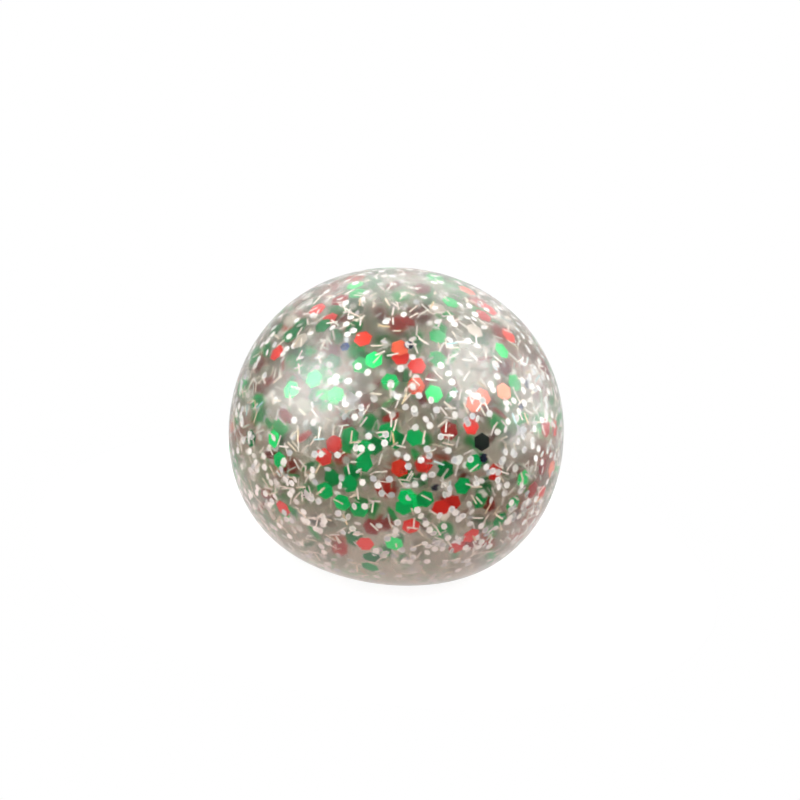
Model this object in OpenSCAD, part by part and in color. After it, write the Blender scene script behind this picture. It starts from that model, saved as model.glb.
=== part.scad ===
// Glitter squeeze ball: a soft clear skin filled with gel, with foil glitter hung in the gel.
// Origin at the middle of the foot patch, +Z up, millimetres.

/* [Ball] */
// Width of the ball across its girth
ball_w = 70; // [62:1:78]
// Height of the ball as it sits on a table
ball_h = 61.5; // [56:0.5:68]
// Height of the girth, the widest level, above the table
girth_h = 26.8; // [24:0.2:29]
// Radius of the flat patch that the ball sits on
foot_r = 13; // [12:0.5:15]
// Fullness of the crown's curve, where 2 is an ellipse
crown_power = 2.1; // [2:0.02:2.3]
// Thickness of the clear skin
skin_wall = 2; // [1.4:0.1:2.6]

/* [Filler plug] */
// Radius of the filler bore
bore_r = 3; // [2.4:0.1:3.6]
// Radius of the thick boss round the bore, inside the skin
boss_r = 7.5; // [7:0.1:8.5]
// Height of the boss's top above the table
boss_h = 4.5; // [4:0.1:5.5]
// Radius of the plug's head
head_r = 5; // [4.6:0.1:5.6]
// Thickness of the plug's head
head_t = 1; // [0.8:0.1:1.3]
// Height of the plug's head above the table
head_recess = 0.4; // [0.3:0.05:0.6]
// Radius of the lip that holds the plug in
lip_r = 3.9; // [3.7:0.1:4.4]
// Height of the lip's cone
lip_h = 2; // [1.5:0.1:2.6]
// Thickness of the sealant ring above the plug's head
seal_t = 0.3; // [0.2:0.05:0.4]
// Gap round the plug's head and stem
plug_gap = 0.05; // [0.03:0.01:0.1]

/* [Gel] */
// Gap between the gel and what holds it
gel_gap = 0.15; // [0.1:0.01:0.3]
// Clear gel left over the outermost glitter
gel_cover = 0.4; // [0.3:0.1:1.2]
// Gap round each piece of glitter in the gel
pocket_gap = 0.1; // [0.08:0.01:0.15]

/* [Glitter] */
// Width of a big hexagon across its flats
hex_af = 3.2; // [2.6:0.1:3.6]
// Width of a small dot across its flats
dot_af = 1.3; // [0.9:0.1:1.5]
// Width of a navy dot across its flats
navy_af = 1.7; // [1.4:0.1:2]
// Length of a strip
strip_l = 2.3; // [1.8:0.1:3]
// Width of a strip
strip_w = 0.32; // [0.24:0.02:0.5]
// Width of a star from point to point
star_w = 3.4; // [2.8:0.1:3.6]
// Width of a star between its points
star_waist = 1.6; // [1:0.1:1.8]
// Thickness of the hexagons' foil
hex_t = 0.15; // [0.1:0.01:0.2]
// Thickness of the other foil
foil_t = 0.12; // [0.08:0.01:0.2]

/* [Glitter mix] */
// Mean clear space between neighbours in a layer of glitter
spread = 1.5; // [1.4:0.1:4]
// Clear space between one layer of glitter and the next
layer_gap = 0.7; // [0.6:0.1:4]
// Number of layers of glitter from the skin inwards
layers = 6; // [1:1:6]
// Greatest tilt of a piece that shows on the front
front_tilt = 6; // [0:1:12]
// Greatest tilt of a piece in the outer layer
tilt = 20; // [0:1:30]
// Greatest tilt of a deeper piece
deep_tilt = 80; // [0:1:90]
// Share of green hexagons
green_share = 0.28; // [0.05:0.01:0.3]
// Share of red hexagons
red_share = 0.13; // [0.05:0.01:0.2]
// Share of silver hexagons
silver_share = 0.08; // [0.02:0.01:0.1]
// Share of stars
star_share = 0.035; // [0.01:0.005:0.04]
// Share of navy dots
navy_share = 0.045; // [0.01:0.005:0.06]
// Share of white dots, with strips as the rest
dot_share = 0.2; // [0.1:0.01:0.24]
// Starting number of the mix
mix_seed = 5; // [1:1:40]

/* [Hidden] */

curve_steps = 40;
round_fn = 128;
golden_turn = 180 * (3 - sqrt(5));
hex_corners = 6;
star_points = 4;
pocket_fn = 24;
halvings = 24;
pull_in = 0.97;
squeeze_travel = 10.5;

GREEN = 0;
RED = 1;
SILVER = 2;
STAR = 3;
NAVY = 4;
DOT = 5;
STRIP = 6;
kinds = 7;

seat_r = head_r + plug_gap;
seat_h = head_recess + head_t + seal_t;
stem_r = bore_r - plug_gap;
stem_top = boss_h + plug_gap;
plug_top = stem_top + lip_h;
notch_r = max(boss_r, lip_r) + gel_gap;
notch_top = plug_top + gel_gap;
gel_inset = skin_wall + gel_gap;
hex_r = hex_af / 2 / cos(180 / hex_corners);
navy_r = navy_af / 2 / cos(180 / hex_corners);
dot_r = dot_af / 2 / cos(180 / hex_corners);
kind_r = [hex_r, hex_r, hex_r, star_w / 2, navy_r, dot_r, strip_l / 2];
piece_r = max(kind_r) + pocket_gap;
pitch = 2 * piece_r + spread;
layer_step = 2 * piece_r + layer_gap;
front_inset = gel_inset + gel_cover + piece_r * sin(front_tilt) + hex_t + pocket_gap;
first_inset = gel_inset + gel_cover + piece_r * sin(tilt) + hex_t + pocket_gap;
first_reach = ball_w / 2 - first_inset;

mix_edges = [
  0, green_share, green_share + red_share, green_share + red_share + silver_share,
  green_share + red_share + silver_share + star_share,
  green_share + red_share + silver_share + star_share + navy_share,
  green_share + red_share + silver_share + star_share + navy_share + dot_share, 1
];

// Radius of the ball's curve, moved in by d, at the height z.
function curve_r(d, z) =
  z > girth_h
  ? (ball_w / 2 - d) * pow(1 - pow((z - girth_h) / (ball_h - girth_h - d), crown_power), 1 / crown_power)
  : foot_r + (ball_w / 2 - d - foot_r) * sqrt(1 - pow((girth_h - z) / (girth_h - d), 2));

// Points of the ball's curve, moved in by d, from the foot's edge to the crown.
function curve(d) = [
  for (i = [0 : curve_steps])
    let (a = 90 - 90 * i / curve_steps)
    [foot_r + (ball_w / 2 - d - foot_r) * cos(a), girth_h - (girth_h - d) * sin(a)],
  for (i = [1 : curve_steps - 1])
    let (a = 90 * i / curve_steps)
    [(ball_w / 2 - d) * pow(cos(a), 2 / crown_power),
     girth_h + (ball_h - girth_h - d) * pow(sin(a), 2 / crown_power)],
  [0, ball_h - d]
];

function reversed(list) = [for (i = [len(list) - 1 : -1 : 0]) list[i]];

// The photograph's view of the front: its rise and roll, the eye's distance, the ball's middle
// and width in pixels, and how much the clear skin bends a ray.
view_rise = 20;
view_roll = 8;
eye_far = 600;
seen_middle = [398.4, 417.5];
seen_w = 335.3;
bend = 1.45;

view_back = [0, -cos(view_rise), sin(view_rise)];
level_up = [0, sin(view_rise), cos(view_rise)];
view_right = [cos(view_roll), 0, 0] + level_up * sin(view_roll);
view_up = level_up * cos(view_roll) - [sin(view_roll), 0, 0];
ball_middle = [0, 0, ball_h / 2];
eye = ball_middle + view_back * eye_far;

// Pieces that show plainly on the front: pixels from the left and top of the photograph, and
// millimetres below the outermost pieces.
seen_pieces = [
  // Green hexagons
  [
    [482, 441, 0], [374, 359, 0.3], [390, 381, 0.2], [434, 393, 1], [502, 350, 0.5],
    [314, 378, 1], [291, 389, 1], [336, 394, 0.5], [274, 438, 0.2], [280, 460, 0.5],
    [251, 438, 0.2], [387, 431, 1], [415, 436, 1.5], [364, 462, 0.2], [325, 490, 0.5],
    [349, 483, 1], [342, 502, 0.3], [359, 510, 1], [407, 496, 0.3], [425, 499, 0.8],
    [463, 485, 0.8], [523, 478, 0.3], [513, 504, 0.4], [394, 544, 0.2], [370, 567, 0.2],
    [323, 325, 0.3], [355, 285, 0.6], [451, 302, 0.6], [438, 336, 1.6], [515, 382, 1.4]
  ],
  // Red hexagons
  [
    [317, 309, 0.4], [363, 338, 0.2], [340, 300, 0.6], [400, 347, 0.6], [417, 365, 0.8],
    [416, 386, 0.5], [474, 403, 0.6], [504, 391, 0.5], [471, 426, 0.8], [324, 456, 0.8],
    [400, 467, 0.2], [424, 463, 0.8], [495, 471, 0.5], [441, 507, 0.6], [411, 526, 0.4],
    [365, 544, 0.4], [471, 536, 0.3], [509, 335, 0.4], [489, 309, 0.4], [467, 290, 0.4],
    [283, 509, 0.3], [277, 352, 0.4], [552, 469, 0.2], [541, 494, 0.3], [555, 428, 0.2]
  ],
  // Silver hexagons
  [[475, 330, 0.3], [437, 308, 0.5], [300, 340, 0.6], [530, 440, 0.6], [430, 470, 1]],
  // Stars
  [[307, 495, 0.2], [458, 540, 0.2], [436, 543, 0.2], [520, 430, 0.3], [352, 400, 0.6]],
  // Navy dots
  [[345, 346, 0.2], [527, 384, 0.2], [521, 404, 0.2], [409, 345, 0.3], [484, 457, 0.3]]
];

function unit(v) = v / norm(v);

// Whether the point p lies more than d below the ball's surface.
function lies_within(d, p) =
  p[2] > d && p[2] < ball_h - d && norm([p[0], p[1]]) < curve_r(d, p[2]);

// The point between one outside and one inside, d below the ball's surface.
function meets(d, outside, inside, n = halvings) =
  let (half = (outside + inside) / 2)
  n == 0 ? inside : lies_within(d, half) ? meets(d, outside, half, n - 1) : meets(d, half, inside, n - 1);

// The skin's own direction beside a point.
function outward(p) =
  let (rise = (p[2] - girth_h) / pow(p[2] > girth_h ? ball_h - girth_h : girth_h, 2))
  unit([p[0] / pow(ball_w / 2, 2), p[1] / pow(ball_w / 2, 2), rise]);

// The place d below the surface that is seen, bent by the skin, at a pixel. A pixel that misses
// the ball is moved in towards its middle.
function seen_place(pixel, d) =
  let (
    off = (pixel - seen_middle) * ball_w / seen_w,
    way = unit(view_right * off[0] - view_up * off[1] - view_back * eye_far),
    nearest = eye + way * ((ball_middle - eye) * way)
  )
  lies_within(d, nearest)
  ? let (
      skin = meets(0, eye, nearest),
      out = outward(skin),
      facing = -way * out,
      bent = way / bend + out * (facing / bend - sqrt(1 - (1 - facing * facing) / bend / bend))
    )
    meets(d, skin, skin + bent * 2 * d)
  : seen_place(seen_middle + (pixel - seen_middle) * pull_in, d);

// Whether a piece is clear of every other in a list.
function clear_of(list, piece) =
  len([
    for (p = list)
      if (norm(p[0] - piece[0]) < kind_r[p[2]] + kind_r[piece[2]] + 3 * pocket_gap) 1
  ]) == 0;

// The pieces of a list that are clear of those before them.
function kept(list, n = 0, found = []) =
  n == len(list) ? found : kept(list, n + 1, clear_of(found, list[n]) ? concat(found, [list[n]]) : found);

// A piece of glitter: its place, its tilts and spin, and its kind.
function front_pieces() = [
  for (kind = [0 : len(seen_pieces) - 1])
    let (
      list = seen_pieces[kind],
      tilts = rands(-front_tilt, front_tilt, 2 * len(list), mix_seed + kind),
      spins = rands(0, 360, len(list), mix_seed + kinds + kind)
    )
    for (i = [0 : len(list) - 1])
      let (at = list[i])
      [seen_place([at[0], at[1]], front_inset + at[2]), [tilts[2 * i], tilts[2 * i + 1], spins[i]], kind]
];

function kind_of(draw) = len([for (edge = mix_edges) if (draw >= edge) 1]) - 1;

// One layer of glitter, on the ball's own shape drawn in towards its middle. Where the outer
// layer faces the photograph, it has only the small kinds, between the pieces that show there.
function layer_pieces(k) =
  let (
    share = max(0, 1 - k * layer_step / first_reach),
    count = floor(4 * PI * pow(share * first_reach / pitch, 2)),
    most = k == 0 ? tilt : deep_tilt,
    draws = rands(0, 1, count + 1, mix_seed + 2 * kinds + k),
    tilts = rands(-most, most, 2 * count + 1, mix_seed + 3 * kinds + k),
    spins = rands(0, 360, count + 1, mix_seed + 4 * kinds + k)
  )
  [
    for (i = [0 : 1 : count - 1])
      let (
        z = first_inset + (ball_h - 2 * first_inset) * (i + 0.5) / count,
        r = curve_r(first_inset, z),
        turn = i * golden_turn,
        shell = [r * cos(turn), r * sin(turn), z],
        small = k == 0 && outward(shell) * view_back > 0,
        draw = small ? mix_edges[DOT] + (1 - mix_edges[DOT]) * draws[i] : draws[i]
      )
      [ball_middle + share * (shell - ball_middle), [tilts[2 * i], tilts[2 * i + 1], spins[i]], kind_of(draw)]
  ];

// Whether the squeeze would bring a place down onto the plug.
function over_plug(p) =
  norm([p[0], p[1]]) < notch_r + piece_r && p[2] < notch_top + squeeze_travel + piece_r;

front = kept(front_pieces());
pieces = [
  each front,
  for (k = [0 : layers - 1])
    for (p = layer_pieces(k))
      if (clear_of(front, p) && !over_plug(p[0])) p
];

// Draws one kind of glitter at each of its places, or the pockets round it.
module scatter(kind, pocket = false) {
  for (p = pieces) {
    if (p[2] == kind) {
      out = outward(p[0]);
      translate(p[0])
        rotate([0, acos(out[2]), atan2(out[1], out[0])])
          rotate(p[1])
            if (pocket) pocket(kind); else piece(kind);
    }
  }
}

module piece(kind) {
  if (kind <= SILVER) hexagon(hex_r, hex_t);
  if (kind == STAR) star();
  if (kind == NAVY) hexagon(navy_r, foil_t);
  if (kind == DOT) hexagon(dot_r, foil_t);
  if (kind == STRIP) strip();
}

// The room in the gel round one piece: a round disc, or a rod along a strip.
module pocket(kind) {
  if (kind <= SILVER) disc(kind_r[kind], hex_t);
  else if (kind < STRIP) disc(kind_r[kind], foil_t);
  else rotate([0, 90, 0]) disc(norm([strip_w, foil_t]) / 2, strip_l);
}

module disc(r, t) {
  cylinder(r = r + pocket_gap, h = t + 2 * pocket_gap, center = true, $fn = pocket_fn);
}

module hexagon(r, t) {
  cylinder(r = r, h = t, center = true, $fn = hex_corners);
}

module star() {
  linear_extrude(height = foil_t, center = true)
    polygon([
      for (i = [0 : 2 * star_points - 1])
        let (r = i % 2 == 0 ? star_w / 2 : star_waist / 2)
        [r * cos(180 * i / star_points), r * sin(180 * i / star_points)]
    ]);
}

module strip() {
  cube([strip_l, strip_w, foil_t], center = true);
}

// The skin: one wall all round, with a boss and a stepped bore in the foot.
module outer_skin() {
  color([0.92, 0.9, 0.88, 0.35])
    rotate_extrude($fn = round_fn)
      polygon(concat(
        [[seat_r, 0]],
        curve(0),
        reversed(curve(skin_wall)),
        [[boss_r, skin_wall], [boss_r, boss_h], [bore_r, boss_h], [bore_r, seat_h], [seat_r, seat_h]]
      ));
}

// The plug: a flat head, a stem in the bore and a cone whose lip holds it behind the boss.
module filler_plug() {
  color([0.85, 0.83, 0.8])
    rotate_extrude($fn = round_fn)
      polygon([
        [0, head_recess], [head_r, head_recess], [head_r, head_recess + head_t],
        [stem_r, head_recess + head_t], [stem_r, stem_top], [lip_r, stem_top],
        [stem_r / 2, plug_top], [0, plug_top]
      ]);
}

// The sealant ring between the plug's head and the skin.
module plug_seal() {
  color([0.9, 0.88, 0.8])
    rotate_extrude($fn = round_fn)
      translate([bore_r, head_recess + head_t])
        square([head_r - bore_r, seal_t]);
}

// The gel: it fills the skin, round the boss, the plug and every piece of glitter.
module gel_fill() {
  color([0.8, 0.74, 0.68, 0.3])
    difference() {
      rotate_extrude($fn = round_fn)
        polygon(concat(
          [[0, notch_top], [notch_r, notch_top], [notch_r, gel_inset]],
          curve(gel_inset)
        ));
      for (kind = [0 : kinds - 1])
        scatter(kind, pocket = true);
    }
}

module green_hexes() {
  color([0.02, 0.62, 0.3]) scatter(GREEN);
}

module red_hexes() {
  color([0.85, 0.16, 0.12]) scatter(RED);
}

module silver_hexes() {
  color([0.82, 0.77, 0.7]) scatter(SILVER);
}

module silver_stars() {
  color([0.88, 0.88, 0.88]) scatter(STAR);
}

module navy_dots() {
  color([0.12, 0.22, 0.42]) scatter(NAVY);
}

module white_dots() {
  color([0.94, 0.94, 0.92]) scatter(DOT);
}

module silver_strips() {
  color([0.88, 0.84, 0.74]) scatter(STRIP);
}

outer_skin();
filler_plug();
plug_seal();
gel_fill();
green_hexes();
red_hexes();
silver_hexes();
silver_stars();
white_dots();
navy_dots();
silver_strips();
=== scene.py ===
"""Dresses a gel-filled glitter squeeze ball for the photograph's view.

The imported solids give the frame. The clear skin, the gel, the plug, its seal and the glitter
are modelled again here with finer shapes and finishes, and each rides on the body of the
solid that it stands for. Lengths are in metres and +Z is up.
"""

from __future__ import annotations

import logging
import math
from dataclasses import dataclass, field
from enum import Enum

import bpy
import numpy as np
from mathutils import Matrix


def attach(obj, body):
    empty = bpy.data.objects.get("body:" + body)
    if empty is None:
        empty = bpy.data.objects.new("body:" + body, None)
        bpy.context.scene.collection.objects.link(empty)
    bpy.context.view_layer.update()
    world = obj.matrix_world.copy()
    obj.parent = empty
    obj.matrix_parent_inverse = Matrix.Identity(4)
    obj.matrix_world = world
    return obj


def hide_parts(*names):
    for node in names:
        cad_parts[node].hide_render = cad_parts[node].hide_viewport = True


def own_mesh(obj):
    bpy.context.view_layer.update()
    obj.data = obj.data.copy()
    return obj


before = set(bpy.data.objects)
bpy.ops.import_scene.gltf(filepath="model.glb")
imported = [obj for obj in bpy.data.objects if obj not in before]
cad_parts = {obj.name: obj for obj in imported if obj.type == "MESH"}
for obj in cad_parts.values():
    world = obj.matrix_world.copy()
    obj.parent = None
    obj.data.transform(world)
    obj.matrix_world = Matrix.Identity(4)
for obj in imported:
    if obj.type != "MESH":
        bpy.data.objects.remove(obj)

LOG = logging.getLogger("glitter_ball")
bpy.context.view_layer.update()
MM = 0.001
UP = (0.0, 0.0, 1.0)
WHITE = (1.0, 1.0, 1.0, 1.0)
TINY = 1e-9
WELD = 0.002 * MM
SHARP_EDGE = math.radians(35)
SMOOTH_ANGLE = math.radians(40)
LEVEL = 0.9
WAIST_ANGLES = (20, 70)
DEPTH_HALVINGS = 30
STRIKE_HALVINGS = 24
SAME_DIGITS = 6
ORDER_DIGITS = 4
NOISE_LOW = 0.3
NOISE_HIGH = 0.7
FINE = 3
SOFT = 2
MIDDLE = 0.5
NO_BOUNCE = 0.5

Outline = list[tuple[float, float]]
Colour = tuple[float, float, float]
Stops = tuple[tuple[float, Colour], ...]


class Body(Enum):
    """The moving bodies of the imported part."""

    SKIN = "skin"
    GEL = "gel"
    GLITTER = "glitter"


@dataclass(frozen=True)
class BallForm:
    """The sizes of the ball as it sits on a table, and the curve that they give."""

    width: float = 70 * MM
    height: float = 61.5 * MM
    girth: float = 26.8 * MM
    foot: float = 13 * MM
    crown_power: float = 2.1
    wall: float = 2 * MM
    gel_gap: float = 0.15 * MM

    @property
    def gel_inset(self) -> float:
        """How far the gel's surface lies inside the skin's outer surface."""
        return self.wall + self.gel_gap

    def outline(self, inset: float, steps: int = 36) -> Outline:
        """Gives the ball's curve from the foot's edge up to the crown.

        Args:
            inset: How far the curve is moved in from the outer surface.
            steps: Points on each of the two halves, below and above the girth.

        Returns:
            Radius and height of each point.
        """
        side = self.width / 2 - inset
        rise = self.height - self.girth - inset
        drop = self.girth - inset
        quarter = math.pi / 2
        below = [quarter * (1 - i / steps) for i in range(steps + 1)]
        above = [quarter * i / steps for i in range(1, steps)]
        power = 2 / self.crown_power
        lower = [
            (self.foot + (side - self.foot) * math.cos(a), self.girth - drop * math.sin(a))
            for a in below
        ]
        upper = [
            (side * math.cos(a) ** power, self.girth + rise * math.sin(a) ** power)
            for a in above
        ]
        return lower + upper + [(0.0, self.height - inset)]

    def radius(self, inset: np.ndarray, z: np.ndarray) -> np.ndarray:
        """Gives the radius of the curve at heights z, or 0 where the curve doesn't reach.

        Args:
            inset: How far each curve is moved in.
            z: The heights.

        Returns:
            The radii.
        """
        side = self.width / 2 - inset
        up = np.clip((z - self.girth) / np.maximum(self.height - self.girth - inset, TINY), 0, 1)
        down = np.clip((self.girth - z) / np.maximum(self.girth - inset, TINY), 0, 1)
        crown = side * (1 - up**self.crown_power) ** (1 / self.crown_power)
        base = self.foot + (side - self.foot) * np.sqrt(1 - down**2)
        found = np.where(z > self.girth, crown, base)
        return np.where((z < inset) | (z > self.height - inset), 0.0, found)

    def depth(self, points: np.ndarray) -> np.ndarray:
        """Gives how deep each point lies below the outer surface, or 0 outside it.

        Args:
            points: An array of places, three numbers each.

        Returns:
            One depth for each place.
        """
        points = np.atleast_2d(points)
        r, z = np.hypot(points[:, 0], points[:, 1]), points[:, 2]
        low, high = np.zeros(len(points)), np.full(len(points), self.girth)
        for _ in range(DEPTH_HALVINGS):
            middle = (low + high) / 2
            inside = self.radius(middle, z) > r
            low, high = np.where(inside, middle, low), np.where(inside, high, middle)
        return low

    def outward(self, points: np.ndarray) -> np.ndarray:
        """Gives the skin's outward direction next to each point.

        Args:
            points: An array of places, three numbers each.

        Returns:
            One unit direction for each place.
        """
        points = np.atleast_2d(points)
        r, z = np.hypot(points[:, 0], points[:, 1]), points[:, 2]
        side = self.width / 2
        p = self.crown_power
        across = np.where(
            z > self.girth,
            r ** (p - 1) / side**p,
            np.maximum(r - self.foot, 0) / (side - self.foot) ** 2,
        )
        along = np.where(
            z > self.girth,
            np.maximum(z - self.girth, 0) ** (p - 1) / (self.height - self.girth) ** p,
            (z - self.girth) / self.girth**2,
        )
        turn = points[:, :2] / np.maximum(r, TINY)[:, None]
        found = np.column_stack([turn * across[:, None], along])
        return found / np.maximum(np.linalg.norm(found, axis=1), TINY)[:, None]


@dataclass(frozen=True)
class PhotoView:
    """The photograph's camera, worked out from the ball's outline in it."""

    elevation: float = 20.0
    roll: float = 8.0
    distance: float = 0.6
    frame_px: float = 800.0
    middle_px: tuple[float, float] = (398.4, 417.5)
    px_per_m: float = 4790.0
    sensor_mm: float = 36.0
    look_at: tuple[float, float, float] = (0.0, 0.0, 30.75 * MM)
    clip: tuple[float, float] = (0.01, 100.0)
    ray_steps: int = 700
    sight: float = 0.03
    sight_steps: int = 600

    def axes(self) -> tuple[np.ndarray, np.ndarray, np.ndarray]:
        """Gives the picture's directions.

        Returns:
            The way right, the way up and the way back to the camera.
        """
        e, t = math.radians(self.elevation), math.radians(self.roll)
        right, up = np.array([1.0, 0, 0]), np.array([0, math.sin(e), math.cos(e)])
        back = np.array([0, -math.cos(e), math.sin(e)])
        return right * math.cos(t) + up * math.sin(t), up * math.cos(t) - right * math.sin(t), back

    def place(self) -> np.ndarray:
        """Finds the camera's place.

        Returns:
            The place.
        """
        right, up, back = self.axes()
        off_x = (self.frame_px / 2 - self.middle_px[0]) / self.px_per_m
        off_y = (self.middle_px[1] - self.frame_px / 2) / self.px_per_m
        return np.array(self.look_at) + right * off_x + up * off_y + back * self.distance

    def lens_mm(self) -> float:
        """Gives the lens that shows the ball at its size in the photograph."""
        return self.sensor_mm * self.distance * self.px_per_m / self.frame_px

    def ray(self, px: float, py: float) -> np.ndarray:
        """Gives the direction in which the camera sees a pixel.

        Args:
            px: Pixels from the left edge.
            py: Pixels from the top edge.

        Returns:
            A unit direction.
        """
        right, up, back = self.axes()
        half, span = self.frame_px / 2, self.px_per_m * self.distance
        way = right * (px - half) / span - up * (py - half) / span - back
        return way / np.linalg.norm(way)

    def project(self, points: np.ndarray) -> np.ndarray:
        """Gives the pixels at which the camera sees places.

        Args:
            points: An array of places, three numbers each.

        Returns:
            Two pixel numbers for each place.
        """
        right, up, back = self.axes()
        off = np.atleast_2d(points) - self.place()
        span = self.px_per_m * self.distance / -(off @ back)
        half = self.frame_px / 2
        return np.column_stack([half + off @ right * span, half - off @ up * span])

    def strike(self, ball: BallForm, px: float, py: float) -> tuple[np.ndarray, np.ndarray] | None:
        """Finds where a pixel's ray meets the ball's outer surface.

        Args:
            ball: The ball.
            px: Pixels from the left edge.
            py: Pixels from the top edge.

        Returns:
            The place and the outward direction there, or None if the ray misses.
        """
        start, way = self.place(), self.ray(px, py)
        steps = np.linspace(self.distance - ball.width, self.distance + ball.width, self.ray_steps)
        inside = ball.depth(start + steps[:, None] * way) > 0
        if not inside.any():
            return None
        far = steps[int(np.argmax(inside))]
        near = far - (steps[1] - steps[0])
        for _ in range(STRIKE_HALVINGS):
            middle = (near + far) / 2
            if ball.depth(start + middle * way)[0] > 0:
                far = middle
            else:
                near = middle
        place = start + far * way
        return place, ball.outward(place)[0]

    def below(
        self, ball: BallForm, px: float, py: float, depth: float, ior: float
    ) -> np.ndarray | None:
        """Finds the place at a depth in the ball that is seen, bent by the skin, at a pixel.

        Args:
            ball: The ball.
            px: Pixels from the left edge.
            py: Pixels from the top edge.
            depth: How far below the outer surface.
            ior: The refractive index of what fills the ball.

        Returns:
            The place, or None if the pixel is off the ball.
        """
        met = self.strike(ball, px, py)
        if met is None:
            return None
        place, out = met
        way = self.ray(px, py)
        cos_in = -float(way @ out)
        cos_out = math.sqrt(1 - (1 - cos_in**2) / ior**2)
        bent = way / ior + (cos_in / ior - cos_out) * out
        steps = np.linspace(0, self.sight, self.sight_steps)
        reached = ball.depth(place + steps[:, None] * bent) >= depth
        return place + steps[int(np.argmax(reached))] * bent if reached.any() else None


# Shaping, as by hand


def clear_selection() -> None:
    """Deselects everything, in object mode."""
    if bpy.context.object and bpy.context.object.mode != "OBJECT":
        bpy.ops.object.mode_set(mode="OBJECT")
    bpy.ops.object.select_all(action="DESELECT")


def pick(piece: bpy.types.Object) -> None:
    """Selects one piece alone and makes it the active one.

    Args:
        piece: The piece.
    """
    clear_selection()
    bpy.context.view_layer.objects.active = piece
    piece.select_set(True)


def deselect_mesh(kind: str) -> None:
    """Deselects all of the active piece's mesh and leaves it in object mode.

    Args:
        kind: What is selected afterwards, faces or corners.
    """
    bpy.ops.object.mode_set(mode="EDIT")
    bpy.ops.mesh.select_mode(type=kind)
    bpy.ops.mesh.select_all(action="DESELECT")
    bpy.ops.object.mode_set(mode="OBJECT")


def turned(name: str, outline: Outline, steps: int) -> bpy.types.Object:
    """Turns an outline about the upright axis, as on a lathe.

    Args:
        name: The piece's name.
        outline: Radius and height of each point in order.
        steps: Steps of the turn.

    Returns:
        The turned piece, with its faces pointing outwards.
    """
    clear_selection()
    bpy.ops.mesh.primitive_plane_add(size=MM)
    piece = bpy.context.active_object
    piece.name = piece.data.name = name
    bpy.ops.object.mode_set(mode="EDIT")
    bpy.ops.mesh.select_all(action="SELECT")
    bpy.ops.mesh.merge(type="CENTER")
    bpy.ops.transform.translate(value=(outline[0][0], 0, outline[0][1]))
    for (r0, z0), (r1, z1) in zip(outline, outline[1:]):
        bpy.ops.mesh.extrude_vertices_move(TRANSFORM_OT_translate={"value": (r1 - r0, 0, z1 - z0)})
    bpy.ops.mesh.select_all(action="SELECT")
    bpy.ops.mesh.spin(steps=steps, angle=2 * math.pi, center=(0, 0, 0), axis=UP)
    bpy.ops.mesh.select_all(action="SELECT")
    bpy.ops.mesh.remove_doubles(threshold=WELD)
    bpy.ops.mesh.normals_make_consistent(inside=False)
    bpy.ops.object.mode_set(mode="OBJECT")
    return piece


def soften_edges(piece: bpy.types.Object, width: float, segments: int = 2) -> None:
    """Rounds a piece's sharp edges.

    Args:
        piece: The piece.
        width: The width of the rounding.
        segments: Faces across it.
    """
    pick(piece)
    mod = piece.modifiers.new("soft_edges", "BEVEL")
    mod.width, mod.segments, mod.limit_method = width, segments, "ANGLE"
    mod.angle_limit = SHARP_EDGE
    bpy.ops.object.modifier_apply(modifier=mod.name)


def smooth(piece: bpy.types.Object) -> None:
    """Shades a piece smooth, apart from its sharp edges."""
    pick(piece)
    bpy.ops.object.shade_smooth_by_angle(angle=SMOOTH_ANGLE)


@dataclass
class Blank:
    """One cut piece of glitter, modelled once, from which its copies are taken."""

    points: np.ndarray
    faces: list[list[int]]
    shade: np.ndarray

    @staticmethod
    def taken_from(
        piece: bpy.types.Object, dimple: float = 0.0, dimple_tone: float = 0.52
    ) -> "Blank":
        """Keeps a modelled piece's mesh as a blank and removes the piece.

        Args:
            piece: The piece.
            dimple: Radius of a darker middle, or 0.
            dimple_tone: The tone of the darker middle, as a share of the rim's.

        Returns:
            The blank.
        """
        clear_selection()
        mesh = piece.data
        points = np.array([v.co[:] for v in mesh.vertices])
        shade = np.where(np.hypot(points[:, 0], points[:, 1]) < dimple, dimple_tone, 1.0)
        blank = Blank(points, [list(p.vertices) for p in mesh.polygons], shade)
        bpy.data.objects.remove(piece)
        bpy.data.meshes.remove(mesh)
        return blank

    def copies(self, laid: "Laid") -> np.ndarray:
        """Gives the corners of a copy at each of several places."""
        return np.einsum("pj,njk->npk", self.points, laid.turns) + laid.places[:, None, :]

    def joined(self, name: str, points: np.ndarray, tones: np.ndarray) -> bpy.types.Object:
        """Joins copies to one piece, in which each copy keeps its own tone.

        Args:
            name: The piece's name.
            points: The corners of each copy.
            tones: The tone of each copy.

        Returns:
            The piece.
        """
        size = len(self.points)
        faces = [[v + n * size for v in face] for n in range(len(points)) for face in self.faces]
        mesh = bpy.data.meshes.new(name)
        mesh.from_pydata(points.reshape(-1, 3).tolist(), [], faces)
        shaded = np.outer(tones, self.shade).ravel().astype(np.float32)
        mesh.attributes.new("tone", "FLOAT", "POINT").data.foreach_set("value", shaded)
        mesh.update()
        piece = bpy.data.objects.new(name, mesh)
        bpy.context.scene.collection.objects.link(piece)
        return piece


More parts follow.
